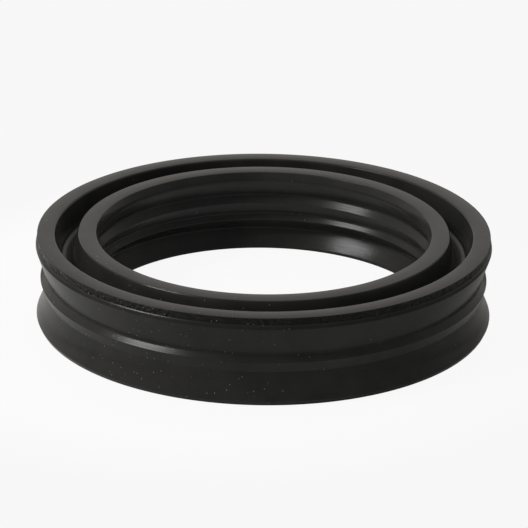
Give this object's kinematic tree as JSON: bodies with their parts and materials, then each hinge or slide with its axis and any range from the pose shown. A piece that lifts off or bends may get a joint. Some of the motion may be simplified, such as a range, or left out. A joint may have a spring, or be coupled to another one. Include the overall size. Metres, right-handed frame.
{
  "type": "lip seal ring",
  "caption": "Round rubber lip seal with a U-groove between its inner and outer lips, a ribbed outer flank, two teeth in its bore and a flat heel, sealing a sliding rod in its housing.",
  "frame": {"origin": "centre of the flat underside of the heel, on the ring's axis", "axes": "+Z along the ring's axis, from the heel towards the lips; X and Y lie in the underside"},
  "size_m": [0.0764, 0.0764, 0.0148],
  "materials": {
    "black_rubber": "satin moulded"
  },
  "bodies": {
    "root": {"seal_ring": "black_rubber"}
  },
  "joints": []
}
